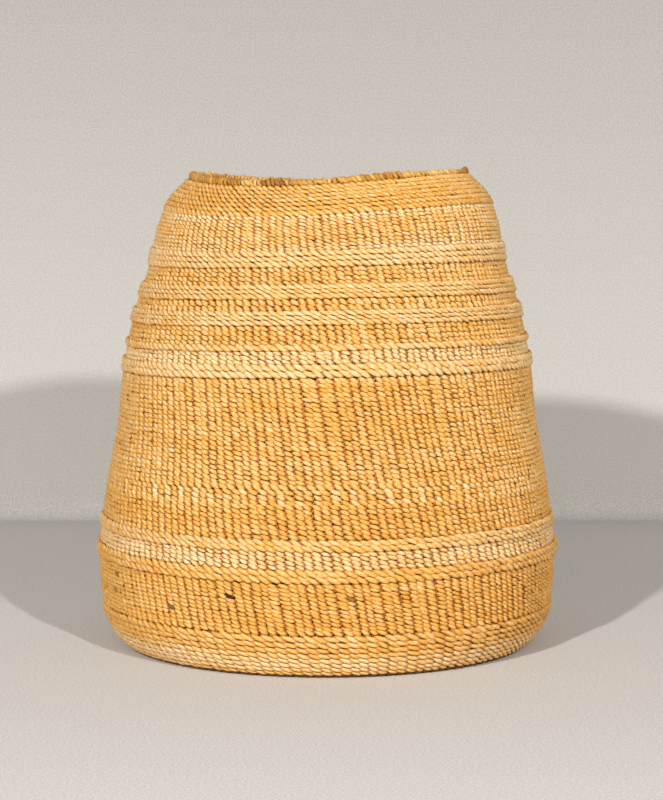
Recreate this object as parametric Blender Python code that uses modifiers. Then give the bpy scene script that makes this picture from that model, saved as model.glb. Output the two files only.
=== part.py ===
"""A close-twined storage basket: wide flat base, courses of plain weave between raised ridges, wrapped mouth.

The origin is on the ground at the middle of the base, with +Z up and the basket's front towards -Y.
"""

from math import cos, pi, radians, sin

import bpy
import numpy as np
from mathutils import Vector
from mathutils.geometry import interpolate_bezier

# Driving dimensions, in metres
BODY_RADIUS = 0.1054  # outside of the plain weave at its widest
WEFT_THICKNESS = 0.0015  # outer strand of each course, as far in as the warps
WARP_RADIUS = 0.0006
GAP = 0.0003  # clearance between neighbouring pieces

# Height of one course in each kind of weave
BELLY_COURSE = 0.00204
LOWER_COURSE = 0.00189
PALE_COURSE = 0.00180
CLOSE_COURSE = 0.00184
UPPER_COURSE = 0.00200
LOOSE_COURSE = 0.00240
FINE_COURSE = 0.00160
WIDE_RIDGE_COURSE = 0.00300
STOUT_RIDGE_COURSE = 0.00260
RIDGE_COURSE = 0.00215

# The courses that turn in under the base, and in again at the shoulder, are laid evenly along their curve
HEEL_HEIGHT = 0.0200
SHOULDER_HEIGHT = 0.0134
HEEL_COURSES = 9
SHOULDER_COURSES = 7

RIDGE_LIFT = 0.0006  # three-strand courses stand this far out of the plain weave
COURSE_RELIEF = 0.0006  # the middle of a three-strand course over its edges
ROW_RELIEF = 0.0005  # how deep the groove between two plain courses goes, on the widest bands

RIM_HEIGHT = 0.0046
RIM_THICKNESS = 0.0040

BASE_HOLLOW = 0.0035  # how far the middle of the base is drawn up
BASE_CLEARANCE = 0.0003  # under the edge of the base disc
CONTACT_WIDTH = 0.0030  # flat ring that the basket stands on
KNOT_RADIUS = 0.0070
KNOT_HEIGHT = 0.0030

WARPS = 18
WARP_LEAN = radians(21)  # how far a warp turns round the basket from heel to mouth

# How the soft wall has settled out of round
MOUTH_LEAN = 0.0010  # the mouth stands over to the right
BODY_TILT = 0.0014  # the courses climb to the right
BODY_SAG = 0.0012  # they sink at the sides
RIM_SADDLE = 0.0017  # the rim rises at the sides and dips at front and back
RIM_TWIST = 0.0016  # its dips lie turned from there, towards front left and back right
# Shares of the height between which the body's settling, and then the mouth's, come in
BODY_EASE_SHARES = (0.2, 0.5)
MOUTH_EASE_SHARES = (0.78, 1.0)

# The wall's outline from the contact ring up: share of the wall's height, share of BODY_RADIUS
OUTLINE_SHARES = (
    (0.000, 0.863),
    (0.013, 0.903),
    (0.035, 0.939),
    (0.056, 0.963),
    (0.078, 0.979),
    (0.121, 0.991),
    (0.210, 1.000),
    (0.273, 0.985),
    (0.360, 0.963),
    (0.490, 0.915),
    (0.610, 0.889),
    (0.730, 0.838),
    (0.820, 0.778),
    (0.900, 0.745),
    (0.943, 0.710),
    (0.967, 0.677),
    (0.986, 0.637),
    (1.000, 0.609),
)

# Name, courses, height of one course, kind of weave, bright or pale straw, chords down a plain wall.
# Rows are plain weave whose courses are modelled one by one.
BANDS = (
    ("heel_weave", HEEL_COURSES, HEEL_HEIGHT / HEEL_COURSES, "edge", "gold", 4),
    ("lower_weave", 12, LOWER_COURSE, "rows", "gold", 3),
    ("ridge_1", 2, WIDE_RIDGE_COURSE, "ridge", "pale", 1),
    ("pale_weave", 4, PALE_COURSE, "plain", "pale", 1),
    ("ridge_2", 2, STOUT_RIDGE_COURSE, "ridge", "pale", 1),
    ("belly_weave_lower", 7, BELLY_COURSE, "plain", "gold", 1),
    ("belly_weave_speckled", 3, BELLY_COURSE, "plain", "gold", 1),
    ("belly_weave_upper", 23, BELLY_COURSE, "rows", "gold", 3),
    ("ridge_3", 2, WIDE_RIDGE_COURSE, "ridge", "pale", 1),
    ("waist_weave", 3, CLOSE_COURSE, "plain", "pale", 1),
    ("ridge_4", 1, STOUT_RIDGE_COURSE, "ridge", "pale", 1),
    ("upper_weave_1", 4, UPPER_COURSE, "plain", "gold", 1),
    ("ridge_5", 3, RIDGE_COURSE, "ridge", "pale", 1),
    ("upper_weave_2", 2, LOOSE_COURSE, "plain", "gold", 1),
    ("ridge_6", 3, RIDGE_COURSE, "ridge", "pale", 1),
    ("upper_weave_3", 4, CLOSE_COURSE, "plain", "gold", 1),
    ("ridge_7", 3, STOUT_RIDGE_COURSE, "ridge", "pale", 1),
    ("neck_weave", 10, FINE_COURSE, "plain", "pale", 2),
    ("shoulder_weave", SHOULDER_COURSES, SHOULDER_HEIGHT / SHOULDER_COURSES, "edge", "gold", 3),
)
STRAW = {"gold": "d29443", "pale": "e6c07c", "brown": "a8753c", "warp": "b98a4c"}

TURN_STEPS = 28
RIM_SIDES = 8
PATH_POINTS = 24  # points that the smooth outline takes between two of its shares
LATTICE_POINTS = (5, 5, 13)
STRAW_ROUGHNESS = 0.62
MERGE_DISTANCE = 0.0001  # welds a turned disc at the axis

WALL_HEIGHT = sum(courses * height for _, courses, height, *_ in BANDS)
CONTACT_RADIUS = BODY_RADIUS * OUTLINE_SHARES[0][1]
CONTACT_INNER_RADIUS = CONTACT_RADIUS - CONTACT_WIDTH
BASE_RADIUS = CONTACT_INNER_RADIUS - GAP
FACET_SAG = BODY_RADIUS * (1 - cos(pi / TURN_STEPS))
WARP_DEPTH = WEFT_THICKNESS + GAP + FACET_SAG + WARP_RADIUS


def clear_scene():
    for obj in list(bpy.data.objects):
        bpy.data.objects.remove(obj, do_unlink=True)


def collection(name):
    made = bpy.data.collections.new(name)
    bpy.context.scene.collection.children.link(made)
    return made


def linear(channel):
    return channel / 12.92 if channel <= 0.04045 else ((channel + 0.055) / 1.055) ** 2.4


def material(name, code):
    """A matt straw of one sRGB colour."""
    made = bpy.data.materials.new(name)
    made.use_nodes = True
    shader = made.node_tree.nodes["Principled BSDF"]
    channels = [linear(int(code[i : i + 2], 16) / 255) for i in (0, 2, 4)]
    shader.inputs["Base Color"].default_value = (*channels, 1)
    shader.inputs["Roughness"].default_value = STRAW_ROUGHNESS
    shader.inputs["Metallic"].default_value = 0
    made.diffuse_color = (*channels, 1)
    return made


def smooth_path(knots):
    """A curve through the knots, each one's direction taken from its two neighbours."""
    knots = [Vector(knot) for knot in knots]
    last = len(knots) - 1
    ways = [(knots[min(i + 1, last)] - knots[max(i - 1, 0)]).normalized() for i in range(last + 1)]
    path = [knots[0]]
    for i in range(last):
        reach = (knots[i + 1] - knots[i]).length / 3
        handle_up, handle_down = knots[i] + ways[i] * reach, knots[i + 1] - ways[i + 1] * reach
        path += interpolate_bezier(knots[i], handle_up, handle_down, knots[i + 1], PATH_POINTS)[1:]
    return np.array(path)


class Outline:
    """The wall's smooth outer line, as radius and height against the length along it."""

    def __init__(self, shares):
        points = smooth_path([(BODY_RADIUS * r, WALL_HEIGHT * z) for z, r in shares])
        steps = np.diff(points, axis=0)
        self.points = points
        self.length = np.concatenate([[0], np.cumsum(np.hypot(*steps.T))])
        self.way = np.gradient(points, axis=0)
        self.way /= np.hypot(*self.way.T)[:, None]
        self.inward = np.stack([-self.way[:, 1], self.way[:, 0]], axis=1)

    def length_at(self, height):
        return np.interp(height, self.points[:, 1], self.length)

    def at(self, length, depth=0):
        """Radius and height this deep inside the wall, square to its outer line."""
        spots = [np.interp(length, self.length, line) for line in self.points.T]
        inward = [np.interp(length, self.length, line) for line in self.inward.T]
        return np.stack([spot + way * depth for spot, way in zip(spots, inward)], axis=-1)


def settle(obj, slump):
    bend = obj.modifiers.new("slump", "LATTICE")
    bend.object = slump


def turned_piece(name, profile, colour, slump, group):
    """A piece turned about Z from a profile that runs down its outer side, closed unless it meets the axis."""
    meets_axis = bool(profile[0][0] == 0)
    edges = [(i, i + 1) for i in range(len(profile) - 1)]
    if not meets_axis:
        edges.append((len(profile) - 1, 0))
    mesh = bpy.data.meshes.new(name)
    mesh.from_pydata([(radius, 0, height) for radius, height in profile], edges, [])
    mesh.materials.append(material(name, STRAW[colour]))
    obj = bpy.data.objects.new(name, mesh)
    group.objects.link(obj)
    turn = obj.modifiers.new("turn", "SCREW")
    turn.steps = turn.render_steps = TURN_STEPS
    turn.use_merge_vertices = meets_axis
    turn.merge_threshold = MERGE_DISTANCE
    turn.use_smooth_shade = True
    settle(obj, slump)
    return obj


def outer_line(outline, start, end, courses, weave, chords):
    """Points up the outer side of a band: flat chords for a plain wall, or a swelling for each course."""
    if weave == "plain":
        return outline.at(np.linspace(start, end, chords + 1))
    crown = {"rows": 0, "edge": COURSE_RELIEF, "ridge": RIDGE_LIFT + COURSE_RELIEF}[weave]
    relief = ROW_RELIEF if weave == "rows" else COURSE_RELIEF
    lengths = np.linspace(start, end, 2 * courses + 1)
    depths = relief * (1 - np.arange(len(lengths)) % 2) - crown
    return np.array([outline.at(length, depth) for length, depth in zip(lengths, depths)])


def band_profile(outline, bottom, top, courses, weave, chords):
    """The cut through one band of courses, between the heights of its lower and upper edges."""
    foot = bottom == 0
    start = outline.length_at(bottom) + (0 if foot else GAP / 2)
    end = outline.length_at(top) - GAP / 2
    outside = outer_line(outline, start, end, courses, weave, chords)
    inside = outline.at(np.linspace(start, end, chords + 1), WEFT_THICKNESS)
    flat = [(CONTACT_INNER_RADIUS, 0), (CONTACT_INNER_RADIUS, inside[0][1])] if foot else []
    return [tuple(point) for point in outside[::-1]] + flat + [tuple(point) for point in inside]


def base_height(radius):
    """Underside of the base disc, drawn up towards its middle."""
    return BASE_CLEARANCE + BASE_HOLLOW * (1 - (radius / BASE_RADIUS) ** 2)


def base_profile():
    radii = np.linspace(BASE_RADIUS, KNOT_RADIUS + GAP, 4)
    under = [(radius, base_height(radius)) for radius in radii]
    over = [(radius, height + WEFT_THICKNESS) for radius, height in reversed(under)]
    return [over[-1], *under, *over[:-1]]


def knot_profile():
    """The start of the weave, a thick little disc that the warps run out from."""
    bottom = base_height(KNOT_RADIUS)
    top = bottom + KNOT_HEIGHT
    waist = KNOT_RADIUS - COURSE_RELIEF
    return [(0, top), (waist, top), (KNOT_RADIUS, (top + bottom) / 2), (waist, bottom), (0, bottom)]


def rim_profile(outline):
    """The roll of wrapping that closes the mouth, seated square on the end of the shoulder's last course."""
    turns = pi / 2 - 2 * pi * np.arange(RIM_SIDES) / RIM_SIDES
    roll = np.stack([RIM_THICKNESS / 2 * np.cos(turns), RIM_HEIGHT / 2 * np.sin(turns)], axis=1)
    way = outline.way[-1]
    reach = -(roll @ way).min()
    seat = outline.at(outline.length[-1], WEFT_THICKNESS / 2)
    return [tuple(point) for point in roll + seat + way * (reach + GAP / 2)]


def warp_path(outline):
    """One warp's line of radius and height, out across the base and up inside the wall, with its turn."""
    lift = WEFT_THICKNESS + GAP + WARP_RADIUS
    across = np.linspace(KNOT_RADIUS + GAP, BASE_RADIUS, 4)
    path = [(radius, base_height(radius) + lift, 0) for radius in across]
    end = outline.length[-1] - WARP_RADIUS
    heel = np.linspace(0, outline.length_at(HEEL_HEIGHT), 5)[1:]
    shoulder = np.linspace(outline.length_at(WALL_HEIGHT - SHOULDER_HEIGHT), end, 3)
    wall = np.linspace(heel[-1], shoulder[0], 8)[1:-1]
    for at in (*heel, *wall, *shoulder):
        path.append((*outline.at(at, WARP_DEPTH), -WARP_LEAN * at / end))
    return path


def warp(number, path, slump, group):
    name = f"warp_{number:02d}"
    curve = bpy.data.curves.new(name, "CURVE")
    curve.dimensions = "3D"
    curve.bevel_depth = WARP_RADIUS
    curve.bevel_resolution = 0
    curve.use_fill_caps = True
    curve.materials.append(material(name, STRAW["warp"]))
    line = curve.splines.new("POLY")
    line.points.add(len(path) - 1)
    for point, (radius, height, turn) in zip(line.points, path):
        angle = 2 * pi * number / WARPS + turn
        point.co = (radius * cos(angle), radius * sin(angle), height, 1)
    obj = bpy.data.objects.new(name, curve)
    group.objects.link(obj)
    settle(obj, slump)


def ease(share, start, end):
    """0 below start, 1 above end, and smooth between."""
    along = min(max((share - start) / (end - start), 0), 1)
    return along * along * (3 - 2 * along)


def slump_guide(mouth_radius, group):
    """The lattice that carries the wall's lean, tilt, sag and saddle. Its lowest layers stay flat."""
    data = bpy.data.lattices.new("slump")
    guide = bpy.data.objects.new("slump", data)
    # Its object comes first: without one the points aren't spread over a unit cube
    data.points_u, data.points_v, data.points_w = LATTICE_POINTS
    height, width = WALL_HEIGHT + GAP + RIM_HEIGHT, 2 * (BODY_RADIUS + RIDGE_LIFT + COURSE_RELIEF)
    guide.location = (0, 0, height / 2)
    guide.scale = (width, width, height)
    guide.hide_render = True
    guide.display_type = "WIRE"
    group.objects.link(guide)
    for point in data.points:
        x, y, up = point.co.x * width, point.co.y * width, point.co.z + 0.5
        body, rim = ease(up, *BODY_EASE_SHARES), ease(up, *MOUTH_EASE_SHARES)
        round_body, round_mouth = (x * x - y * y) / BODY_RADIUS**2, (x * x - y * y) / mouth_radius**2
        rise = BODY_TILT * body * x / BODY_RADIUS - BODY_SAG * body * (1 - rim) * round_body
        rise += rim * (RIM_SADDLE * round_mouth - 2 * RIM_TWIST * x * y / mouth_radius**2)
        point.co_deform = point.co + Vector((MOUTH_LEAN * rim / width, 0, rise / height))
    return guide


def build():
    clear_scene()
    parts, guides = collection("basket"), collection("guides")
    outline = Outline(OUTLINE_SHARES)
    slump = slump_guide(outline.points[-1][0], guides)
    bottom = 0
    for name, courses, course_height, weave, colour, chords in BANDS:
        top = bottom + courses * course_height
        profile = band_profile(outline, bottom, top, courses, weave, chords)
        turned_piece(name, profile, colour, slump, parts)
        bottom = top
    turned_piece("rim_binding", rim_profile(outline), "brown", slump, parts)
    turned_piece("base_weave", base_profile(), "gold", slump, parts)
    turned_piece("start_knot", knot_profile(), "gold", slump, parts)
    path = warp_path(outline)
    for number in range(1, WARPS + 1):
        warp(number, path, slump, parts)


build()
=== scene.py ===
"""The looks of a close-twined storage basket: every stitch of its courses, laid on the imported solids."""

from math import cos, pi, radians, sin

import bmesh
import bpy
import numpy as np
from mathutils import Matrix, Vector


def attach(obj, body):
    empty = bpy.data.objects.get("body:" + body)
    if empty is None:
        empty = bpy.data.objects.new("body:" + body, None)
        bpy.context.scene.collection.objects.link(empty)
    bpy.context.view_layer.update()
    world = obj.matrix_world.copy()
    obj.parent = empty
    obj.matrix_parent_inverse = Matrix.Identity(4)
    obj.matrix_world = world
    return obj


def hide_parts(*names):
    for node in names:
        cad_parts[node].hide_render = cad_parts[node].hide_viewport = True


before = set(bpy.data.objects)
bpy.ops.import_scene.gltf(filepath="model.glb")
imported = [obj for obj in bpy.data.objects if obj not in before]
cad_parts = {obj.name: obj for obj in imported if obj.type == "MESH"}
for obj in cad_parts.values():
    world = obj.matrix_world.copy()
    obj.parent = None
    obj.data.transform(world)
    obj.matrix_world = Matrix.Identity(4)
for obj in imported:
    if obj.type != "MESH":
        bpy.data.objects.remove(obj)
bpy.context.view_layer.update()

# Sizes in metres, beside those that come from the solids
INNER_FACE_DEPTH = 0.0043  # from the stitches' outer face to the inner one, past the warps
STRAND_THICKNESS = 0.0015
BAND_LAP = 0.0004  # how far the stitches of a band reach past its solid, to meet the next band's
BASE_STITCH = 0.0041  # length along a course of the base
BASE_COURSE = 0.00205
RIM_WRAP_PITCH = 0.0021
RIM_WRAP_RADIUS = 0.0008
RIM_WRAP_SLANT = 0.0006
RIM_WRAP_FLATNESS = 1.25  # width of the wrapping's strand, as a share of its thickness
RIM_CORE_SHRINK = 0.0012  # how far the bundle in the rim lies under the wrapping
RIM_CORE_SHARE = 0.85  # thickness of the rim's roll round the bundle, as a share of the solid's
WARP_RADIUS = 0.0006
WARP_BEND = 0.02  # a warp's points above this height lie in the wall
TINY = 1e-5  # vertices closer than this are one, and those lower than this touch the ground

TURN_STEPS = 28  # vertices round each turned solid
WARPS_APART = 9  # warps from one of the solid ones to the next
CORE_STEPS = 144  # rings of the rim's bundle round the mouth
CORE_SIDES = 10
WRAP_STEPS = 14  # rings of one turn of the wrapping
WRAP_SIDES = 6
ROD_SIDES = 6
KNOT_ROUNDS = ((0.82, 9), (0.5, 6), (0.18, 3))  # share of the way out from the middle, and stitches
KNOT_HALF_ROUND = 0.16  # from a round's middle to its edges, as a share of the same way
UP = np.array([0, 0, 1])

# How unevenly the weave lies. The warps' places are in stitches, and each wanders with its neighbours.
WARP_JITTER = 0.035
WARP_WANDER = 0.22
WANDER_SPAN = 9  # warps over which the wander is evened out
COURSE_JITTER = 0.02
SIZE_SPREAD = 0.10
TURN_SPREAD = 0.12  # in radians
TONE_SPREAD = 0.06
STRAND_TONE_SPREAD = 0.04
RIDGE_TONE_SPREAD = 0.03

# The same for the rim's wrapping, which is looser
WRAP_TONE = 0.43
WRAP_TONE_SPREAD = 0.12  # from one length of its strand to the next
WRAP_WIDTHS = (0.75, 1.45)  # least and most width of a turn, as shares of the strand's own
WRAP_HEIGHT_SPREAD = 0.04
WRAP_SIZE_SPREAD = 0.13
WRAP_TURN_SPREAD = 0.34
TURN_TONE_SPREAD = 0.17  # from one turn of it to the next

# How full the rim's roll is round the mouth: degrees round from the right, and share of the solid's height
RIM_FULLNESS = (
    (-180, 1), (-172, 0.97), (-150, 0.88), (-120, 0.82), (-109, 0.78), (-88, 0.82), (-66, 0.92),
    (-50, 0.8), (-22, 0.66), (-9, 0.68), (-4, 0.98), (4, 1), (12, 0.72), (40, 0.55), (100, 0.5),
    (140, 0.58), (160, 0.75), (172, 0.95), (180, 1),
)
# Stains on the rim, from handling: middle and half width in degrees round from the right, and strength
RIM_STAINS = (
    (-109, 7, 0.6), (-117, 1.5, 0.8), (-131, 1.5, 0.5), (-162, 12, 0.35), (-1, 5, 0.5), (-67, 3, 0.3),
    (96, 6, 0.4),
)
# Single stitches drawn dark: degrees round from the right, height above the floor, and strength
DARK_STITCHES = (
    (-113.5, 0.0362, 1), (-130.6, 0.0278, 0.8), (-155, 0.0300, 0.6), (-152.8, 0.0388, 0.55),
    (-83.9, 0.0355, 0.65),
)
DARK_REACH = 0.001  # a stitch this near the height is the dark one
FOOT_SHADE = 0.8  # painted contact shade on the wall's first course, beside the ground

# Node, kind of course, courses, stitches round, tone of the straw from 0 dark to 1 pale, and how much
# wider than the mean the stitches are on the left. Rows are plain weave on solids that show each course.
BANDS = (
    ("heel_weave", "edge", 9, 144, 0.49, 0),
    ("lower_weave", "rows", 12, 162, 0.42, -0.02),
    ("ridge_1", "edge", 2, 158, 0.46, 0),
    ("pale_weave", "plain", 4, 161, 0.64, 0),
    ("ridge_2", "edge", 2, 158, 0.56, 0),
    ("belly_weave_lower", "plain", 7, 161, 0.44, 0.03),
    ("belly_weave_speckled", "plain", 3, 160, 0.47, 0.05),
    ("belly_weave_upper", "rows", 23, 160, 0.48, 0.07),
    ("ridge_3", "edge", 2, 154, 0.61, 0),
    ("waist_weave", "plain", 3, 157, 0.66, 0.07),
    ("ridge_4", "edge", 1, 154, 0.56, 0),
    ("upper_weave_1", "plain", 4, 155, 0.48, 0.12),
    ("ridge_5", "edge", 3, 152, 0.6, 0),
    ("upper_weave_2", "plain", 2, 151, 0.48, 0.08),
    ("ridge_6", "edge", 3, 150, 0.58, 0),
    ("upper_weave_3", "plain", 4, 148, 0.48, 0.03),
    ("ridge_7", "edge", 3, 146, 0.62, 0),
    ("neck_weave", "plain", 10, 141, 0.54, 0),
    ("shoulder_weave", "edge", 7, 137, 0.46, 0),
)
MOST_COURSES = 12  # in one piece, which keeps it under 200,000 triangles
HEEL_TONES = (-0.2, 0.0, 0.1, 0.18, 0.15, 0.0, -0.05, -0.05, -0.05)  # added to its courses, ground up
NECK_END_TONE = 0.15  # added to the neck's first and last course
SPECKLE_TONE = 0.17  # times a chance from 0 to 1.2, for every other stitch of the speckled band
HIDDEN_TONE = 0.45  # of the base and the knot

# Camera and room, in metres and degrees, worked out from the floor line and the level of the rim
CAMERA_PLACE = (0.0021, -1.128, 0.214)
CAMERA_DOWN = radians(5.2)
CAMERA_LENS = 110.25  # in millimetres, as the sensor's width is
SENSOR = 36
WALL_BEHIND = 0.40
# Lamps: name, degrees to the right of the camera, degrees up, watts, and metres across
LAMPS = (
    ("right_lamp", 22.5, 22.0, 30.5, 0.07),
    ("left_lamp", -22.5, 23.8, 37, 0.07),
    ("front_fill", 0, 30, 4, 1.4),
)
LAMP_DISTANCE = 2.2
LAMP_AIM = 0.1  # height of the place that the lamps point at
ROOM_LIGHT = 0.09


def linear(code):
    """Linear red, green, blue and alpha of an sRGB hex colour."""
    channels = [int(code[i : i + 2], 16) / 255 for i in (0, 2, 4)]
    return tuple(c / 12.92 if c <= 0.04045 else ((c + 0.055) / 1.055) ** 2.4 for c in channels) + (1,)


def add_node(tree, kind, settings=None, links=None):
    """A node with its settings, and with values or other sockets put into its named or numbered inputs."""
    node = tree.nodes.new(kind)
    for name, value in (settings or {}).items():
        setattr(node, name, value)
    for name, value in (links or {}).items():
        socket = node.inputs[name]
        if isinstance(value, bpy.types.NodeSocket):
            tree.links.new(value, socket)
        else:
            socket.default_value = value
    return node


# Materials

# A stitch's own coordinates run from -1 to 1 along 4.6 mm and across 2.5 mm, so its fibres are 1 mm long
# and 0.4 mm wide. The wrapping's run from 0 to 4 round a turn of 13 mm and from -2 to 2 across 2.2 mm, so its
# fibres are 1.4 mm long and 0.2 mm wide. Real ones are about 0.1 mm wide: these are coarser, so as to show.
FIBRES_PER_UNIT = (2.4, 3.2, 1)
FIBRE_STRENGTH = 1.25
GRAIN_SHIFT = (37, 53, 71)  # takes each stitch to its own place in the fibres' noise
WEATHER_SCALE = 38  # for each metre: patches 26 mm across, as on the wall in the photograph
WEATHER_STRENGTH = 0.16
PATTERN_MEAN = 0.69  # about what the fibres and the patches add to a tone
FIBRE_HEIGHT = 0.0002  # in metres, as on split root that is dry
ROD_MOTTLE_SCALE = 240  # for each metre: marks 4 mm across, about two courses apart
# For each metre: grain 1.1 mm across. The cloth has about two threads to the millimetre, too fine to show,
# so it is drawn twice as coarse.
CLOTH_SCALE = 900
FLOOR_GRAIN, WALL_GRAIN = 0.85, 0.45  # strength, as the wall is further off and seen square on
WALL_GRAIN_FROM = 0.03  # height in metres above which the grain is the wall's
DARKEST_SHADE_FROM = 0.33  # height in metres above which the wall's painted shade, where the lamps' light falls off, is darkest


def split_straw(name, low, middle, high, shade_and_dirt, stain_and_shade_code):
    """Split root, dried and nearly matt: each strand has its own tone, fine fibres, and painted shade and
    dirt at its ends.
    """
    made = bpy.data.materials.new(name)
    made.use_nodes = True
    tree = made.node_tree
    shader = tree.nodes["Principled BSDF"]
    tone = add_node(tree, "ShaderNodeAttribute", {"attribute_name": "tone"})
    stain = add_node(tree, "ShaderNodeAttribute", {"attribute_name": "stain"})
    grain = add_node(tree, "ShaderNodeAttribute", {"attribute_name": "grain"})
    strand = add_node(tree, "ShaderNodeAttribute", {"attribute_name": "strand"})
    moved = add_node(tree, "ShaderNodeVectorMath", {"operation": "MULTIPLY_ADD"},
                     {0: grain.outputs["Vector"], 1: GRAIN_SHIFT, 2: strand.outputs["Vector"]})
    stretched = add_node(tree, "ShaderNodeVectorMath", {"operation": "MULTIPLY"},
                         {0: moved.outputs[0], 1: FIBRES_PER_UNIT})
    fibres = add_node(tree, "ShaderNodeTexNoise", None,
                      {"Vector": stretched.outputs[0], "Scale": 1, "Detail": 2, "Roughness": 0.6})
    place = add_node(tree, "ShaderNodeTexCoord")
    weathered = add_node(tree, "ShaderNodeTexNoise", None,
                         {"Vector": place.outputs["Object"], "Scale": WEATHER_SCALE, "Detail": 3,
                          "Roughness": 0.55})
    fibre_tone = add_node(tree, "ShaderNodeMath", {"operation": "MULTIPLY_ADD"},
                          {0: fibres.outputs["Fac"], 1: FIBRE_STRENGTH, 2: tone.outputs["Fac"]})
    both = add_node(tree, "ShaderNodeMath", {"operation": "MULTIPLY_ADD"},
                    {0: weathered.outputs["Fac"], 1: WEATHER_STRENGTH, 2: fibre_tone.outputs[0]})
    centred = add_node(tree, "ShaderNodeMath", {"operation": "SUBTRACT"},
                       {0: both.outputs[0], 1: PATTERN_MEAN})
    ramp = add_node(tree, "ShaderNodeValToRGB", None, {"Fac": centred.outputs[0]})
    stops = ramp.color_ramp.elements
    stops[0].position, stops[0].color = 0.05, linear(low)
    stops[1].position, stops[1].color = 0.95, linear(high)
    middle_stop = stops.new(0.45)
    middle_stop.color = linear(middle)
    # Painted shade, with some dirt: the third value of the strand's coordinates darkens its ends and corners,
    # where shade falls between strands.
    groove = add_node(tree, "ShaderNodeSeparateXYZ", None, {0: strand.outputs["Vector"]})
    shaded_and_soiled = add_node(tree, "ShaderNodeMix", {"data_type": "RGBA", "blend_type": "MULTIPLY"},
                      {"Factor": groove.outputs["Z"], "A": ramp.outputs["Color"], "B": linear(shade_and_dirt)})
    # Real stains, and painted contact shade on the course beside the ground, are mixed over the colour here.
    stained_and_shaded = add_node(tree, "ShaderNodeMix", {"data_type": "RGBA", "blend_type": "MIX"},
                       {"Factor": stain.outputs["Fac"], "A": shaded_and_soiled.outputs["Result"],
                        "B": linear(stain_and_shade_code)})
    tree.links.new(stained_and_shaded.outputs["Result"], shader.inputs["Base Color"])
    shine = add_node(tree, "ShaderNodeMapRange", None,
                     {"Value": fibres.outputs["Fac"], "From Min": 0.25, "From Max": 0.75,
                      "To Min": 0.44, "To Max": 0.62})
    tree.links.new(shine.outputs["Result"], shader.inputs["Roughness"])
    bump = add_node(tree, "ShaderNodeBump", None,
                    {"Strength": 0.35, "Distance": FIBRE_HEIGHT, "Height": fibres.outputs["Fac"]})
    tree.links.new(bump.outputs["Normal"], shader.inputs["Normal"])
    shader.inputs["IOR"].default_value = 1.46
    shader.inputs["Specular IOR Level"].default_value = 0.18
    return made


def peeled_rod():
    """The warps' peeled shoots: one even dull brown, as little light reaches them."""
    made = bpy.data.materials.new("peeled_rod")
    made.use_nodes = True
    tree = made.node_tree
    shader = tree.nodes["Principled BSDF"]
    place = add_node(tree, "ShaderNodeTexCoord")
    mottle = add_node(tree, "ShaderNodeTexNoise", None,
                      {"Vector": place.outputs["Object"], "Scale": ROD_MOTTLE_SCALE, "Detail": 2})
    ramp = add_node(tree, "ShaderNodeValToRGB", None, {"Fac": mottle.outputs["Fac"]})
    ramp.color_ramp.elements[0].color = linear("8f6332")
    ramp.color_ramp.elements[1].color = linear("b98a4c")
    tree.links.new(ramp.outputs["Color"], shader.inputs["Base Color"])
    shader.inputs["Roughness"].default_value = 0.7
    return made


def linen(name, floor, low, high):
    """The plain cloth of the floor and the wall, with painted shade that darkens it up the wall where the
    lamps' light falls off, and not there for a camera behind it.
    """
    made = bpy.data.materials.new(name)
    made.use_nodes = True
    tree = made.node_tree
    shader = tree.nodes["Principled BSDF"]
    place = add_node(tree, "ShaderNodeTexCoord")
    axes = add_node(tree, "ShaderNodeSeparateXYZ", None, {0: place.outputs["Object"]})
    # Painted shade: the cloth is lighter on the floor and darker up the wall, where less of the lamps' light
    # falls.
    climb = add_node(tree, "ShaderNodeMapRange", None,
                     {"Value": axes.outputs["Z"], "From Max": DARKEST_SHADE_FROM})
    graded = add_node(tree, "ShaderNodeValToRGB", None, {"Fac": climb.outputs["Result"]})
    stops = graded.color_ramp.elements
    stops[0].color, stops[1].color = linear(floor), linear(high)
    stops.new(0.04).color = linear(low)
    weave = add_node(tree, "ShaderNodeTexNoise", None,
                     {"Vector": place.outputs["Object"], "Scale": CLOTH_SCALE, "Detail": 1})
    rough = add_node(tree, "ShaderNodeMapRange", None,
                     {"Value": axes.outputs["Z"], "From Max": WALL_GRAIN_FROM,
                      "To Min": FLOOR_GRAIN, "To Max": WALL_GRAIN})
    speckled = add_node(tree, "ShaderNodeMix", {"data_type": "RGBA", "blend_type": "SOFT_LIGHT"},
                        {"Factor": rough.outputs["Result"], "A": graded.outputs["Color"],
                         "B": weave.outputs["Fac"]})
    tree.links.new(speckled.outputs["Result"], shader.inputs["Base Color"])
    shader.inputs["Roughness"].default_value = 0.95
    shader.inputs["Specular IOR Level"].default_value = 0.1
    light = add_node(tree, "ShaderNodeLightPath")
    side = add_node(tree, "ShaderNodeNewGeometry")
    behind = add_node(tree, "ShaderNodeMath", {"operation": "MULTIPLY"},
                      {0: light.outputs["Is Camera Ray"], 1: side.outputs["Backfacing"]})
    clear = add_node(tree, "ShaderNodeBsdfTransparent")
    seen = add_node(tree, "ShaderNodeMixShader", None,
                    {0: behind.outputs[0], 1: shader.outputs[0], 2: clear.outputs[0]})
    tree.links.new(seen.outputs[0], tree.nodes["Material Output"].inputs["Surface"])
    return made


# The wall's lines, read from the solids


def joined_mesh(node):
    """A node's mesh with its doubled vertices joined, to be freed by the caller."""
    merged = bmesh.new()
    merged.from_mesh(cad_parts[node].data)
    bmesh.ops.remove_doubles(merged, verts=merged.verts, dist=TINY)
    return merged


def joined_places(node):
    """The places of a node's vertices, each once."""
    merged = joined_mesh(node)
    places = np.array([v.co for v in merged.verts])
    merged.free()
    return places


def from_axis(place):
    """How far a place is from the basket's axis."""
    return np.hypot(*place[:2])


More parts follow.
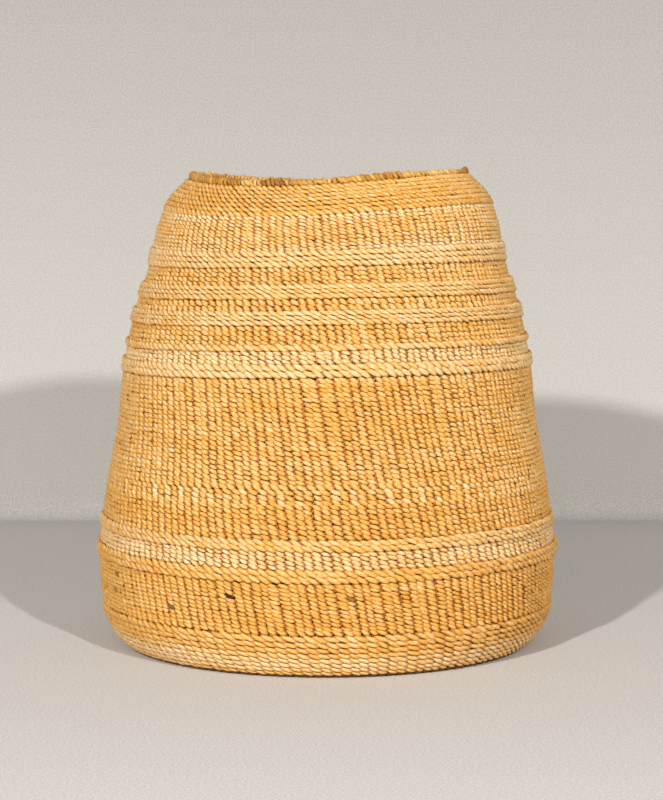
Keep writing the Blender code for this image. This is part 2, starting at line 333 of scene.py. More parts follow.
def rings_of(node, outwardness, order, count=None):
    """Points of a turned node's outward side, [place in the order][turn step].

    They are the count most outward of each step, or all whose outwardness is above 0.
    """
    merged = joined_mesh(node)
    merged.normal_update()
    centre = sum((v.co for v in merged.verts), Vector()) / len(merged.verts)
    steps = [[] for _ in range(TURN_STEPS)]
    for vert in merged.verts:
        arm = vert.co - centre
        step = round(np.arctan2(arm.y, arm.x) / (2 * pi) * TURN_STEPS) % TURN_STEPS
        steps[step].append((outwardness(vert, arm), tuple(vert.co)))
    merged.free()
    if count is None:
        outer = [[place for out, place in step if out > 0] for step in steps]
    else:
        outer = [[place for _, place in sorted(step)[-count:]] for step in steps]
    if len({len(step) for step in outer}) != 1:
        raise ValueError(f"{node}: its rings differ")
    return np.array([sorted(step, key=order) for step in outer]).transpose(1, 0, 2)


def round_the_turn(ring, turns):
    """Places on a closed ring of points at these shares of a full turn, on a smooth curve through them."""
    along = np.asarray(turns) * len(ring)
    start = np.floor(along).astype(int)
    t = (along - start)[..., None]
    a, b, c, d = (ring[(start + i) % len(ring)] for i in (-1, 0, 1, 2))
    return b + 0.5 * t * (c - a + t * (2 * a - 5 * b + 4 * c - d + t * (3 * (b - c) + d - a)))


def up_the_wall(rings, share):
    """The ring at this share of the way up a stack of rings."""
    place = share * (len(rings) - 1)
    low = min(int(place), len(rings) - 2)
    return rings[low] + (rings[low + 1] - rings[low]) * (place - low)


class Course:
    """One round of stitches: its middle ring, its lower and upper edges, and how many stitches it has."""

    def __init__(self, low, middle, high, stitches):
        self.low, self.middle, self.high, self.stitches = low, middle, high, stitches

    def at(self, turns, depth=0):
        """Places, the directions along and out of the wall, and the course's height, at these turns."""
        place = round_the_turn(self.middle, turns)
        step = 0.25 / len(self.middle)
        along = round_the_turn(self.middle, turns + step) - round_the_turn(self.middle, turns - step)
        along /= np.linalg.norm(along, axis=1)[:, None]
        rise = round_the_turn(self.high, turns) - round_the_turn(self.low, turns)
        height = np.linalg.norm(rise, axis=1)
        out = np.cross(along, rise)
        out /= np.linalg.norm(out, axis=1)[:, None]
        return place - out * depth, along, out, height

    def pitch(self):
        """The mean length of a stitch along the course."""
        around = np.linalg.norm(self.middle - np.roll(self.middle, 1, axis=0), axis=1).sum()
        return around / self.stitches


def wall_courses(node, weave, courses, stitches):
    """The courses of one band of the wall, from the rings of its solid, let out to meet the next."""
    chords = len(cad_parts[node].data.polygons) // (4 * TURN_STEPS)
    rings = rings_of(node, lambda vert, arm: vert.normal.dot(arm) / arm.length, lambda place: place[2],
                     chords if weave == "plain" else 2 * courses + 1)
    for end, beside in ((0, 1), (-1, -2)):
        way = rings[end] - rings[beside]
        rings[end] += way / np.linalg.norm(way, axis=1)[:, None] * BAND_LAP
    if weave == "plain":
        edges = [up_the_wall(rings, i / courses) for i in range(courses + 1)]
        return [Course(low, (low + high) / 2, high, stitches) for low, high in zip(edges, edges[1:])]
    return [Course(*rings[2 * i : 2 * i + 3], stitches) for i in range(courses)]


def foot_course(stitches):
    """The course that the basket stands on, between the two edges of the heel's flat ring."""
    on_ground = rings_of("heel_weave", lambda vert, arm: TINY - vert.co.z, from_axis)
    return Course(on_ground[0], (on_ground[0] + on_ground[1]) / 2, on_ground[1], stitches)


def base_courses():
    """Round courses of the base, from the knot out to the foot."""
    rings = rings_of("base_weave", lambda vert, arm: -vert.normal.z, from_axis)
    span = from_axis(rings[-1][0]) - from_axis(rings[0][0])
    count = round(span / BASE_COURSE)
    edges = [up_the_wall(rings, i / count) for i in range(count + 1)]
    courses = []
    for low, high in zip(edges, edges[1:]):
        middle = (low + high) / 2
        around = 2 * pi * from_axis(middle[0])
        courses.append(Course(low, middle, high, round(around / BASE_STITCH)))
    return courses


def warp_lean():
    """Turns round the basket for each metre up a warp, read from one of the solids."""
    points = np.array([v.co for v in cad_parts["warp_01"].data.vertices])
    points = points[points[:, 2] > WARP_BEND]
    turns = np.unwrap(np.arctan2(points[:, 1], points[:, 0])) / (2 * pi)
    return np.polyfit(points[:, 2], turns, 1)[0]


LEAN = warp_lean()


def warp_line(name):
    """The middle line of one of the warps' solids, from the knot to the rim, found ring by ring."""
    left = joined_places(name)
    at = np.zeros(3)
    line = []
    while len(left):
        nearest = left[np.argmin(np.linalg.norm(left - at, axis=1))]
        ring = np.linalg.norm(left - nearest, axis=1) < 2.5 * WARP_RADIUS
        at = left[ring].mean(axis=0)
        line.append(at)
        left = left[~ring]
    return line


# Stitches

# Painted shade in a strand's grooves, with old dirt, from 0 clean and unshaded to 1 dark
END_SHADE_AND_DIRT = 0.68
END_SHADE_AND_DIRT_SPAN = 0.45  # share of half a strand over which it grows from none to this
SIDE_SHADE_AND_DIRT = 0.12
SIDE_SHADE_AND_DIRT_FROM = 0.72  # share of the half width


def groove_shade_and_dirt(s, across, section):
    """The painted shade and old dirt at a place on a strand: its crown is clean and unshaded, and its ends
    are dark where shade falls between strands, most at their corners.
    """
    ends = min(max((abs(s) - section["clean_and_unshaded"]) / END_SHADE_AND_DIRT_SPAN, 0), 1)
    sides = min(max((abs(across) - SIDE_SHADE_AND_DIRT_FROM) / (1 - SIDE_SHADE_AND_DIRT_FROM), 0), 1)
    return min(END_SHADE_AND_DIRT * ends * (1 + section["corners"] * (2 * abs(across) - 1)) + SIDE_SHADE_AND_DIRT * sides, 1)


def strand_shape(name, section, stations, slant, droop, reach, shear=0.3):
    """One stitch: a lofted strand along X, whose ends dip behind its neighbours.

    Its sizes are shares of a stitch's length, of a course's height and of the strand's thickness. It has this
    many stations along it, slants down to the right, and reaches this share of a stitch to each side. The
    shear sets its two long edges a little past each other.
    """
    shape = bmesh.new()
    along = shape.verts.layers.float_vector.new("strand")
    rings = []
    for i in range(stations):
        s = 2 * i / (stations - 1) - 1
        wide = section["half_width"] * (1 - section["taper"] * abs(s) ** 3)
        ring = []
        for across, out in section["outline"]:
            x = reach * s - shear * across * wide
            y = -slant * sin(pi / 2 * s) + across * wide
            z = -section["crown"] * (1 - out) - droop * abs(s) ** section["arch"]
            vert = shape.verts.new((x, y, z))
            # The third value is the painted shade and dirt at this place, read by the material.
            vert[along] = (s, across, groove_shade_and_dirt(s, across, section))
            ring.append(vert)
        rings.append(ring)
    loft(shape, zip(rings, rings[1:]))
    shape.faces.new(rings[0][::-1])
    shape.faces.new(rings[-1])
    return bpy.data.objects.new(name, smooth_mesh(shape, name))


def loft(shape, pairs):
    """Quads between each pair of rings of vertices."""
    for low, high in pairs:
        for i in range(len(low)):
            j = (i + 1) % len(low)
            shape.faces.new((low[i], low[j], high[j], high[i]))


def smooth_mesh(shape, name):
    """A smooth-shaded mesh of a bmesh, which is freed."""
    bmesh.ops.recalc_face_normals(shape, faces=shape.faces)
    mesh = bpy.data.meshes.new(name)
    shape.to_mesh(mesh)
    shape.free()
    mesh.shade_smooth()
    return mesh


# Sections of a strand: across it and out of the wall, each from -1 to 1
OUTER_SECTION = ((-1, -0.6), (-0.72, 0.5), (0, 1), (0.72, 0.5), (1, -0.6))
INNER_SECTION = ((-1, -0.6), (-0.5, 0.9), (0.5, 0.9), (1, -0.6))

# Half width and crown are shares of a course's height and of the strand's thickness. The taper, the arch, the
# clean, unshaded part and the painted shade and dirt at the corners shape the strand's ends.
PLAIN_STRAND = {"half_width": 0.6, "taper": 0.45, "arch": 3.0, "crown": 0.42, "clean_and_unshaded": 0.55, "corners": 0.2,
                "outline": OUTER_SECTION}
PLAIN_INNER = {"half_width": 0.64, "taper": 0.2, "arch": 3.0, "crown": 0.42, "clean_and_unshaded": 0.55, "corners": 0,
               "outline": INNER_SECTION}
EDGE_STRAND = {"half_width": 0.485, "taper": 0.65, "arch": 2.8, "crown": 0.5, "clean_and_unshaded": 0.34, "corners": 0.6,
               "outline": OUTER_SECTION}
EDGE_INNER = {"half_width": 0.52, "taper": 0.2, "arch": 2.6, "crown": 0.45, "clean_and_unshaded": 0.55, "corners": 0,
              "outline": INNER_SECTION}
STITCHES = {
    ("plain", False): strand_shape("plain_stitch", PLAIN_STRAND, 6, slant=0.13, droop=1.55, reach=0.56),
    ("plain", True): strand_shape("plain_back", PLAIN_INNER, 5, slant=0.13, droop=1.55, reach=0.62),
    ("edge", False): strand_shape("three_strand_stitch", EDGE_STRAND, 7, slant=0.25, droop=1.3, reach=0.84),
    ("edge", True): strand_shape("three_strand_back", EDGE_INNER, 5, slant=0.17, droop=0.95, reach=0.8),
}

# What each point of a course says of its stitch
POINT_VALUES = {"along": "FLOAT_VECTOR", "out": "FLOAT_VECTOR", "size": "FLOAT_VECTOR",
                "tone": "FLOAT", "stain": "FLOAT", "inside": "BOOLEAN"}


def twining_tree():
    """Sets a stitch on each point of a course, turned along it and outwards, and each a little unlike."""
    tree = bpy.data.node_groups.new("twining", "GeometryNodeTree")
    face = tree.interface
    face.new_socket("Courses", in_out="INPUT", socket_type="NodeSocketGeometry")
    face.new_socket("Outer Stitch", in_out="INPUT", socket_type="NodeSocketObject")
    face.new_socket("Inner Stitch", in_out="INPUT", socket_type="NodeSocketObject")
    face.new_socket("Size Spread", in_out="INPUT", socket_type="NodeSocketFloat")
    face.new_socket("Turn Spread", in_out="INPUT", socket_type="NodeSocketFloat")
    face.new_socket("Tone Spread", in_out="INPUT", socket_type="NodeSocketFloat")
    face.new_socket("Seed", in_out="INPUT", socket_type="NodeSocketInt")
    face.new_socket("Straw", in_out="INPUT", socket_type="NodeSocketMaterial")
    face.new_socket("Weave", in_out="OUTPUT", socket_type="NodeSocketGeometry")
    given = add_node(tree, "NodeGroupInput").outputs

    laid_out = {}
    for name, kind in POINT_VALUES.items():
        value = add_node(tree, "GeometryNodeInputNamedAttribute", {"data_type": kind}, {"Name": name})
        laid_out[name] = value.outputs[0]
    chance = {}
    for shift, name in enumerate(("Turn Spread", "Size Spread", "Tone Spread", "Grain")):
        seed = add_node(tree, "ShaderNodeMath", {"operation": "ADD"}, {0: given["Seed"], 1: shift})
        most = given[name] if name in given else 1
        least = add_node(tree, "ShaderNodeMath", {"operation": "MULTIPLY"}, {0: most, 1: -1})
        top = most if name in given else (1, 1, 1)
        drawn = add_node(tree, "FunctionNodeRandomValue", {"data_type": "FLOAT_VECTOR"},
                         {0: least.outputs[0], 1: top, "Seed": seed.outputs[0]})
        chance[name] = drawn.outputs[0]
    facing = add_node(tree, "FunctionNodeAxesToRotation", {"primary_axis": "Z", "secondary_axis": "X"},
                      {0: laid_out["out"], 1: laid_out["along"]})
    sway = add_node(tree, "FunctionNodeEulerToRotation", None, {0: chance["Turn Spread"]})
    turned = add_node(tree, "FunctionNodeRotateRotation", {"rotation_space": "LOCAL"},
                      {0: facing.outputs[0], 1: sway.outputs[0]})
    swell = add_node(tree, "ShaderNodeVectorMath", {"operation": "ADD"},
                     {0: chance["Size Spread"], 1: (1, 1, 1)})
    size = add_node(tree, "ShaderNodeVectorMath", {"operation": "MULTIPLY"},
                    {0: laid_out["size"], 1: swell.outputs[0]})
    shade = add_node(tree, "ShaderNodeSeparateXYZ", None, {0: chance["Tone Spread"]})
    tone = add_node(tree, "ShaderNodeMath", {"operation": "ADD"},
                    {0: laid_out["tone"], 1: shade.outputs["X"]})
    toned = add_node(tree, "GeometryNodeStoreNamedAttribute", {"data_type": "FLOAT", "domain": "POINT"},
                     {"Geometry": given["Courses"], "Name": "tone", "Value": tone.outputs[0]})
    grained = add_node(tree, "GeometryNodeStoreNamedAttribute",
                       {"data_type": "FLOAT_VECTOR", "domain": "POINT"},
                       {"Geometry": toned.outputs[0], "Name": "grain", "Value": chance["Grain"]})
    outside = add_node(tree, "FunctionNodeBooleanMath", {"operation": "NOT"}, {0: laid_out["inside"]})
    rows = []
    for stitch, chosen in (("Outer Stitch", outside.outputs[0]), ("Inner Stitch", laid_out["inside"])):
        shape = add_node(tree, "GeometryNodeObjectInfo", None, {"Object": given[stitch]})
        laid = add_node(tree, "GeometryNodeInstanceOnPoints", None,
                        {"Points": grained.outputs[0], "Selection": chosen,
                         "Instance": shape.outputs["Geometry"],
                         "Rotation": turned.outputs[0], "Scale": size.outputs[0]})
        rows.append(laid.outputs[0])
    joined = add_node(tree, "GeometryNodeJoinGeometry")
    for row in rows:
        tree.links.new(row, joined.inputs[0])
    real = add_node(tree, "GeometryNodeRealizeInstances", None, {"Geometry": joined.outputs[0]})
    dressed = add_node(tree, "GeometryNodeSetMaterial", None,
                       {"Geometry": real.outputs[0], "Material": given["Straw"]})
    add_node(tree, "NodeGroupOutput", None, {0: dressed.outputs[0]})
    return tree


TWINING = twining_tree()


def plain_mesh(name, source, tree, inputs, spent=("along", "out", "size", "inside")):
    """A piece whose mesh is what the tree makes of the source, with no modifier and no spent attributes."""
    maker = bpy.data.objects.new(name + "_maker", source)
    bpy.context.scene.collection.objects.link(maker)
    bend = maker.modifiers.new(tree.name, "NODES")
    bend.node_group = tree
    sockets = {item.name: item.identifier for item in tree.interface.items_tree if item.in_out == "INPUT"}
    for label, value in inputs.items():
        bend[sockets[label]] = value
    graph = bpy.context.evaluated_depsgraph_get()
    mesh = bpy.data.meshes.new_from_object(maker.evaluated_get(graph))
    bpy.data.objects.remove(maker, do_unlink=True)
    mesh.name = name
    for label in spent:
        mesh.attributes.remove(mesh.attributes[label])
    piece = bpy.data.objects.new(name, mesh)
    bpy.context.scene.collection.objects.link(piece)
    return piece


def points_mesh(name, columns):
    """A cloud of points with their attributes, from arrays of one row a point."""
    mesh = bpy.data.meshes.new(name)
    mesh.vertices.add(len(columns["place"]))
    mesh.vertices.foreach_set("co", columns["place"].ravel().astype(np.float32))
    for label, kind in POINT_VALUES.items():
        layer = mesh.attributes.new(label, kind, "POINT")
        field = "vector" if kind == "FLOAT_VECTOR" else "value"
        layer.data.foreach_set(field, columns[label].ravel())
    return mesh


def warp_spread(stitches, wider_left, chance):
    """How far each warp stands from its even place, in stitches: some near the next, and some wide of it."""
    near = chance.normal(0, WARP_JITTER, stitches)
    wander = np.convolve(np.tile(chance.normal(0, WARP_WANDER, stitches), 3),
                         np.full(WANDER_SPAN, 1 / WANDER_SPAN), "same")
    sideways = np.sin(2 * pi * np.arange(stitches) / stitches) * stitches / (2 * pi)
    return near + wander[stitches : 2 * stitches] - wider_left * sideways


def course_points(course, first_turn, tones, stains, spread=0):
    """Where a course's stitches go: one on the outer face and one on the inner face of each warp."""
    pitch = course.pitch()
    spots = np.arange(course.stitches) + spread
    width = np.diff(np.append(spots, spots[0] + course.stitches))
    width = np.maximum(width, np.roll(width, 1))
    turns = first_turn + spots / course.stitches
    rows = []
    for inside in (False, True):
        place, along, out, height = course.at(turns, INNER_FACE_DEPTH if inside else 0)
        side = -1 if inside else 1
        count = len(turns)
        rows.append({
            "place": place, "along": side * along, "out": side * out,
            "size": np.stack([pitch * width, height, np.full(count, STRAND_THICKNESS)], axis=1),
            "tone": tones, "stain": stains, "inside": np.full(count, inside),
        })
    return rows


def weave_piece(name, node, weave, rows, seed, straw):
    """A piece of stitches from the points of some courses, in the place of a node or a part of it."""
    columns = {label: np.concatenate([row[label] for row in rows]) for label in rows[0]}
    source = points_mesh(name + "_points", columns)
    piece = plain_mesh(name, source, TWINING, {
        "Outer Stitch": STITCHES[weave, False], "Inner Stitch": STITCHES[weave, True],
        "Size Spread": SIZE_SPREAD, "Turn Spread": TURN_SPREAD, "Tone Spread": TONE_SPREAD,
        "Seed": seed, "Straw": straw,
    })
    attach(piece, "root")
    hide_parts(node)


def strand_tones(stitches, strands, spread, chance):
    """Shades of a course's stitches. Its strands take turns, and each is spliced every 4 to 11 of its own."""
    tones = np.zeros(stitches)
    for strand in range(strands):
        at = strand
        while at < stitches:
            span = strands * int(chance.integers(4, 12))
            tones[at : at + span : strands] = chance.normal(0, spread)
            at += span
    return tones


def band_tones(node, course_number, courses, stitches, tone, chance):
    """Shade of each stitch of a course, before the chance that each stitch has."""
    spread = RIDGE_TONE_SPREAD if node.startswith("ridge") else STRAND_TONE_SPREAD
    tones = tone + strand_tones(stitches, 2, spread, chance)
    if node == "belly_weave_speckled":
        tones += SPECKLE_TONE * (np.arange(stitches) % 2) * chance.uniform(0, 1.2, stitches) - 0.01
    if node == "neck_weave" and course_number in (0, courses - 1):
        tones += NECK_END_TONE
    if node == "heel_weave":
        tones += HEEL_TONES[course_number]
    return tones


def band_stains_and_shade(course, turns, on_foot):
    """How dark each stitch of a course is drawn: single dark ones, and painted contact shade on all of the
    course beside the ground.
    """
    place = round_the_turn(course.middle, turns)
    degrees = np.degrees(np.arctan2(place[:, 1], place[:, 0]))
    stains = np.full(len(turns), FOOT_SHADE if on_foot else 0.0)
    for angle, height, strength in DARK_STITCHES:
        near = (np.abs(degrees - angle) < 180 / len(turns)) & (np.abs(place[:, 2] - height) < DARK_REACH)
        stains[near] = strength
    return stains


def make_wall(straw):
    """The stitches of every band, from the ground up, in pieces of at most MOST_COURSES courses."""
    chance = np.random.default_rng(3)
    for number, (node, weave, courses, stitches, tone, wider_left) in enumerate(BANDS):
        laid = wall_courses(node, weave, courses, stitches)
        spread = warp_spread(stitches, wider_left, chance)
        rows = []
        for i, course in enumerate(laid):
            first = LEAN * course.middle[:, 2].mean()
            tones = band_tones(node, i, courses, stitches, tone, chance)
            turns = first + (np.arange(stitches) + spread) / stitches
            stains = band_stains_and_shade(course, turns, node == "heel_weave" and i == 0)
            rows.append(course_points(course, first, tones, stains, spread))
            spread = spread + chance.normal(0, COURSE_JITTER, stitches)
        if node == "heel_weave":
            foot = foot_course(stitches)
            # The foot course, under the basket, is drawn fully dark as painted contact shade.
            rows.insert(0, course_points(foot, 0, np.full(stitches, tone), np.ones(stitches)))
        shape = "edge" if weave == "edge" else "plain"
        for part in range(0, len(rows), MOST_COURSES):
            chosen = [row for pair in rows[part : part + MOST_COURSES] for row in pair]
            name = f"{node}_strands"
            if len(rows) > MOST_COURSES:
                name += f"_{part // MOST_COURSES + 1}"
            weave_piece(name, node, shape, chosen, 11 * number + part, straw)


def make_base(straw):
    """The base's round courses, seen from below and from inside."""
    rows = []
    for course in base_courses():
        tones = np.full(course.stitches, HIDDEN_TONE)
        rows.append(course_points(course, 0, tones, np.zeros(course.stitches)))
    for label, face in (("base_underside_strands", 0), ("base_inside_strands", 1)):
        weave_piece(label, "base_weave", "plain", [pair[face] for pair in rows], 301 + face, straw)


def make_knot(straw):
    """Three small rounds of stitches over the crossing of the warps."""

    def below(vert, arm):
        """Above 0 for what faces down, apart from the millimetre round the middle."""
        return -0.3 - vert.normal.z if np.hypot(arm.x, arm.y) > 0.001 else -1

    rings = rings_of("start_knot", below, from_axis)
    centre = rings.mean(axis=(0, 1))
    rows = []
    for share, count in KNOT_ROUNDS:
        sides = (-KNOT_HALF_ROUND, KNOT_HALF_ROUND)
        low, high = (centre + (rings[-1] - centre) * (share + side) for side in sides)
        course = Course(low, (low + high) / 2, high, count)
        rows += course_points(course, 0, np.full(count, HIDDEN_TONE), np.zeros(count))
    weave_piece("start_knot_strands", "start_knot", "plain", rows, 401, straw)


# The rim


def degrees_round(turns):
    """Degrees round from the right, from -180 to 180."""
    return (360 * np.asarray(turns) + 180) % 360 - 180


def rim_fullness(turns):
    """The roll's height at these turns, as a share of its height in the solid."""
    degrees, shares = zip(*RIM_FULLNESS)
    return np.interp(degrees_round(turns), degrees, shares)


def rim_roll():
    """The middle ring of the rim's solid, and half its mean thickness and height."""
    places = joined_places("rim_binding")
    centre = places.mean(axis=0)
    arms = places - centre
    step = np.round(np.arctan2(arms[:, 1], arms[:, 0]) / (2 * pi) * TURN_STEPS).astype(int) % TURN_STEPS
    groups = [places[step == i] for i in range(TURN_STEPS)]
    middle = np.array([group.mean(axis=0) for group in groups])
    spans = [[np.ptp(np.hypot(*(group[:, :2] - centre[:2]).T)), np.ptp(group[:, 2])] for group in groups]
    thick, tall = np.array(spans).mean(axis=0) / 2
    return middle, thick, tall


def rim_stains(turns, chance):
    """How stained each turn of the wrapping is: a little everywhere, and more where hands have held it.

    A stain is whole as far as 0.6 of its half width, and fades out at 1.6 of it.
    """
    stains = np.clip(chance.normal(0.1, 0.12, len(turns)), 0, 0.5)
    for middle_degree, spread_degrees, strength in RIM_STAINS:
        away = np.abs((degrees_round(turns) - middle_degree + 180) % 360 - 180) / spread_degrees
        worn = strength * np.clip(1.6 - away, 0, 1) * chance.uniform(0.5, 1, len(turns))
        stains = np.maximum(stains, worn)
    return stains


def make_rim(straw):
    """The wrapping round the mouth's roll, and the bundle of warp ends that it binds."""
    middle, thick, tall = rim_roll()
    around = np.linalg.norm(middle - np.roll(middle, 1, axis=0), axis=1).sum()
    count = round(around / RIM_WRAP_PITCH)
    course = Course(middle - UP * tall, middle, middle + UP * tall, count)
    turns = np.arange(count) / count
    place, along, out, _ = course.at(turns)
    chance = np.random.default_rng(5)
    stains = rim_stains(turns, chance)
    full = rim_fullness(turns) * (1 + chance.normal(0, WRAP_HEIGHT_SPREAD, count))
    columns = {
        "place": place - np.outer(tall * (1 - full), UP), "along": along, "out": out,
        "size": np.stack([chance.uniform(*WRAP_WIDTHS, count), full, (1 + full) / 2], axis=1),
        "tone": WRAP_TONE + strand_tones(count, 1, WRAP_TONE_SPREAD, chance), "stain": stains,
        "inside": np.zeros(count, bool),
    }
    wrap = wrap_shape(thick, tall)
    piece = plain_mesh("rim_wrapping", points_mesh("rim_points", columns), TWINING, {
        "Outer Stitch": wrap, "Inner Stitch": wrap, "Size Spread": WRAP_SIZE_SPREAD,
        "Turn Spread": WRAP_TURN_SPREAD, "Tone Spread": TURN_TONE_SPREAD, "Seed": 501, "Straw": straw,
    })
    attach(piece, "root")
    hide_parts("rim_binding")
    core = core_ring(middle, RIM_CORE_SHARE * thick - RIM_CORE_SHRINK, tall, straw)
    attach(core, "root")
    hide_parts("rim_binding")


def closed_tube(rings, name):
    """A mesh of quads through a closed row of rings of points."""
    shape = bmesh.new()
    made = [[shape.verts.new(tuple(point)) for point in ring] for ring in rings]
    loft(shape, zip(made, made[1:] + made[:1]))
    return smooth_mesh(shape, name)


def wrap_shape(thick, tall):
    """One turn of the wrapping: a flat strand round the roll, slanting a little as it goes."""
    rings, values = [], []
    half_tall, half_thick = tall - RIM_WRAP_RADIUS, thick - RIM_WRAP_RADIUS
    for i in range(WRAP_STEPS):
        turn = 2 * pi * i / WRAP_STEPS
        y, z = half_tall * sin(turn), half_thick * cos(turn)
        ring = []
        for j in range(WRAP_SIDES):
            side = 2 * pi * j / WRAP_SIDES
            out = RIM_WRAP_RADIUS * sin(side)
            x = RIM_WRAP_FLATNESS * RIM_WRAP_RADIUS * cos(side) - RIM_WRAP_SLANT * sin(turn)
            ring.append((x, y * (1 + out / half_tall), z * (1 + out / half_thick)))
            values.append((4 * i / WRAP_STEPS, 2 * cos(side), 0))
        rings.append(ring)
    mesh = closed_tube(rings, "rim_wrap")
    layer = mesh.attributes.new("strand", "FLOAT_VECTOR", "POINT")
    layer.data.foreach_set("vector", np.array(values, np.float32).ravel())
    return bpy.data.objects.new("rim_wrap", mesh)


def core_ring(middle, thick, full_height, straw):
    """The bundle inside the wrapping, as full as the roll is at each place."""
    centre = middle.mean(axis=0)
    rings = []
    for turn in np.arange(CORE_STEPS) / CORE_STEPS:
        full = rim_fullness(turn)
        tall = full_height * full - RIM_CORE_SHRINK
        place = round_the_turn(middle, turn) - UP * (full_height * (1 - full))
        out = place - centre
        out[2] = 0
        out /= np.linalg.norm(out)
        sides = 2 * pi * np.arange(CORE_SIDES) / CORE_SIDES
        rings.append([place + out * thick * cos(a) + UP * tall * sin(a) for a in sides])
    mesh = closed_tube(rings, "rim_core")
    mesh.materials.append(straw)
    core = bpy.data.objects.new("rim_core", mesh)
    bpy.context.scene.collection.objects.link(core)
    return core


# Warps


def rod_tree():
    """Turns each line of the mesh that it is given into a round rod."""
    tree = bpy.data.node_groups.new("rods", "GeometryNodeTree")
    face = tree.interface
    face.new_socket("Lines", in_out="INPUT", socket_type="NodeSocketGeometry")
    face.new_socket("Radius", in_out="INPUT", socket_type="NodeSocketFloat")
    face.new_socket("Sides", in_out="INPUT", socket_type="NodeSocketInt")
    face.new_socket("Wood", in_out="INPUT", socket_type="NodeSocketMaterial")
    face.new_socket("Rods", in_out="OUTPUT", socket_type="NodeSocketGeometry")
    given = add_node(tree, "NodeGroupInput").outputs
    lines = add_node(tree, "GeometryNodeMeshToCurve", None, {"Mesh": given["Lines"]})
    round_section = add_node(tree, "GeometryNodeCurvePrimitiveCircle", None,
                             {"Resolution": given["Sides"], "Radius": given["Radius"]})
    rods = add_node(tree, "GeometryNodeCurveToMesh", None,
                    {"Curve": lines.outputs[0], "Profile Curve": round_section.outputs[0], "Fill Caps": True})
    smooth = add_node(tree, "GeometryNodeSetShadeSmooth", None, {"Geometry": rods.outputs[0]})
    real = add_node(tree, "GeometryNodeRealizeInstances", None, {"Geometry": smooth.outputs[0]})
    dressed = add_node(tree, "GeometryNodeSetMaterial", None,
                       {"Geometry": real.outputs[0], "Material": given["Wood"]})
    add_node(tree, "NodeGroupOutput", None, {0: dressed.outputs[0]})
    return tree


def make_other_warps(material):
    """The warps that stand between the solid ones: they start further out, where the base was widened."""
    solid = sorted(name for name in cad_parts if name.startswith("warp_"))
    stations = np.array([warp_line(name) for name in solid]).transpose(1, 0, 2)
    verts, edges = [], []
    for number in range(len(solid) * WARPS_APART):
        if number % WARPS_APART == 0:
            continue
        turn = number / (len(solid) * WARPS_APART)
        first = 2 + number % 2  # every other one starts a ring further out
        line = [round_the_turn(ring, turn) for ring in stations[first:]]
        edges += [(len(verts) + i, len(verts) + i + 1) for i in range(len(line) - 1)]
        verts += line
    lines = bpy.data.meshes.new("warp_lines")
    lines.from_pydata([tuple(vert) for vert in verts], edges, [])
    shape = {"Radius": WARP_RADIUS, "Sides": ROD_SIDES, "Wood": material}
    piece = plain_mesh("other_warps", lines, rod_tree(), shape, spent=())
    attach(piece, "root")


def dress_warps(material):
    """Gives the solid warps, which stay as they are, their material."""
    for name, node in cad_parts.items():
        if name.startswith("warp_"):
            for slot in node.material_slots:
                slot.material = material


# The room


def make_stage():
    """A floor that meets a wall behind, as one sheet with a tight curve between."""
    half, front, back, top = 1.6, -1.6, WALL_BEHIND, 1.6
    curve, steps = 0.012, 6
    outline = [(front, 0)]
    for i in range(steps + 1):
        turn = pi / 2 * i / steps
        outline.append((back - curve + curve * sin(turn), curve - curve * cos(turn)))
    outline.append((back, top))
    mesh = bpy.data.meshes.new("stage")
    verts = [(x, y, z) for y, z in outline for x in (-half, half)]
    faces = [(2 * i, 2 * i + 1, 2 * i + 3, 2 * i + 2) for i in range(len(outline) - 1)]
    mesh.from_pydata(verts, [], faces)
    # The cloth's colour on the floor, low on the wall, and at the top of the wall, darker there for painted
    # shade.
    mesh.materials.append(linen("pale_linen", "d0cdc9", "ccc8c2", "aba8a4"))
    mesh.shade_smooth()
    stage = bpy.data.objects.new("stage", mesh)
    bpy.context.scene.collection.objects.link(stage)


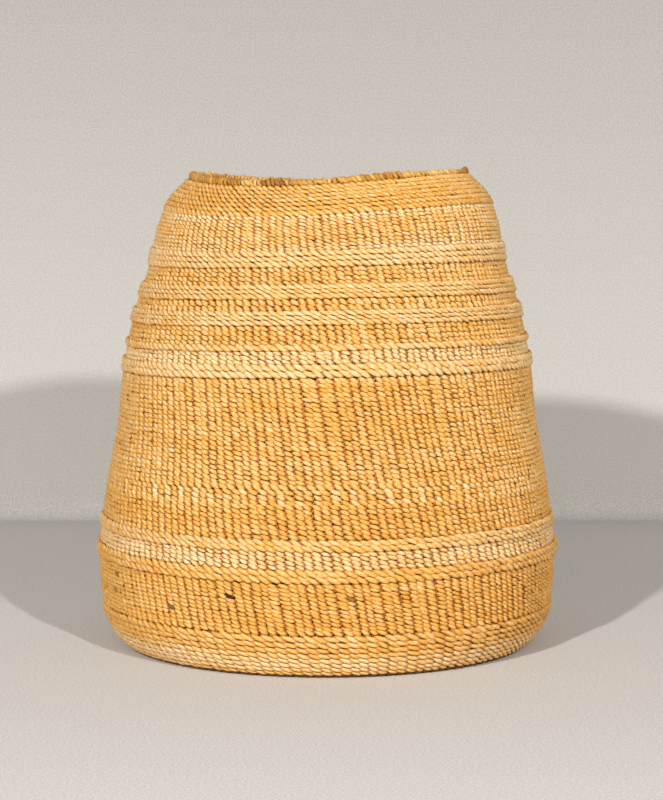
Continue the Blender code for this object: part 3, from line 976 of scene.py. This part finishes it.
def make_camera():
    """The photograph's camera, level with the rim and looking down a little."""
    data = bpy.data.cameras.new("camera")
    data.lens, data.sensor_width, data.sensor_fit = CAMERA_LENS, SENSOR, "AUTO"
    camera = bpy.data.objects.new("camera", data)
    camera.location = CAMERA_PLACE
    camera.rotation_euler = (pi / 2 - CAMERA_DOWN, 0, 0)
    bpy.context.scene.collection.objects.link(camera)
    bpy.context.scene.camera = camera


def area_light(name, place, size, power, code):
    """A round lamp that points at the basket."""
    data = bpy.data.lights.new(name, "AREA")
    data.shape, data.size, data.energy = "DISK", size, power
    data.color = linear(code)[:3]
    light = bpy.data.objects.new(name, data)
    light.location = place
    light.rotation_euler = (Vector((0, 0, LAMP_AIM)) - Vector(place)).to_track_quat("-Z", "Y").to_euler()
    bpy.context.scene.collection.objects.link(light)


def make_world():
    """A dim even light from all round, behind a plain backdrop that only the camera sees."""
    world = bpy.data.worlds.new("studio")
    world.use_nodes = True
    tree = world.node_tree
    back = tree.nodes["Background"]
    back.inputs["Color"].default_value = linear("f4f5f6")
    back.inputs["Strength"].default_value = ROOM_LIGHT
    light = add_node(tree, "ShaderNodeLightPath")
    backdrop = add_node(tree, "ShaderNodeBackground", None, {"Color": linear("c9c5bf"), "Strength": 1})
    seen = add_node(tree, "ShaderNodeMixShader", None,
                    {0: light.outputs["Is Camera Ray"], 1: back.outputs[0], 2: backdrop.outputs[0]})
    tree.links.new(seen.outputs[0], tree.nodes["World Output"].inputs["Surface"])
    bpy.context.scene.world = world


def make_lights():
    """Two small lamps, whose shadows cross behind the basket, and a large soft one in front."""
    for name, angle, up, power, size in LAMPS:
        a, e = radians(angle), radians(up)
        level = LAMP_DISTANCE * cos(e)
        place = (level * sin(a), -level * cos(a), LAMP_AIM + LAMP_DISTANCE * sin(e))
        area_light(name, place, size, power, "fffdfa")


# Each straw's low, middle and high tone, the painted shade and dirt in its grooves, and the colour of its
# stains and of the painted contact shade beside the ground
straw = split_straw("split_root", "bd7a2e", "dca54c", "ead8b2", "b46c12", "38221b")
rim_straw = split_straw("handled_root", "aa6e2a", "d29c46", "ebca90", "8a4c18", "5c2f12")
rod = peeled_rod()
make_camera()
make_stage()
make_world()
make_lights()
make_wall(straw)
make_base(straw)
make_knot(straw)
make_rim(rim_straw)
dress_warps(rod)
make_other_warps(rod)

view = bpy.context.scene.view_settings
view.view_transform = "Standard"
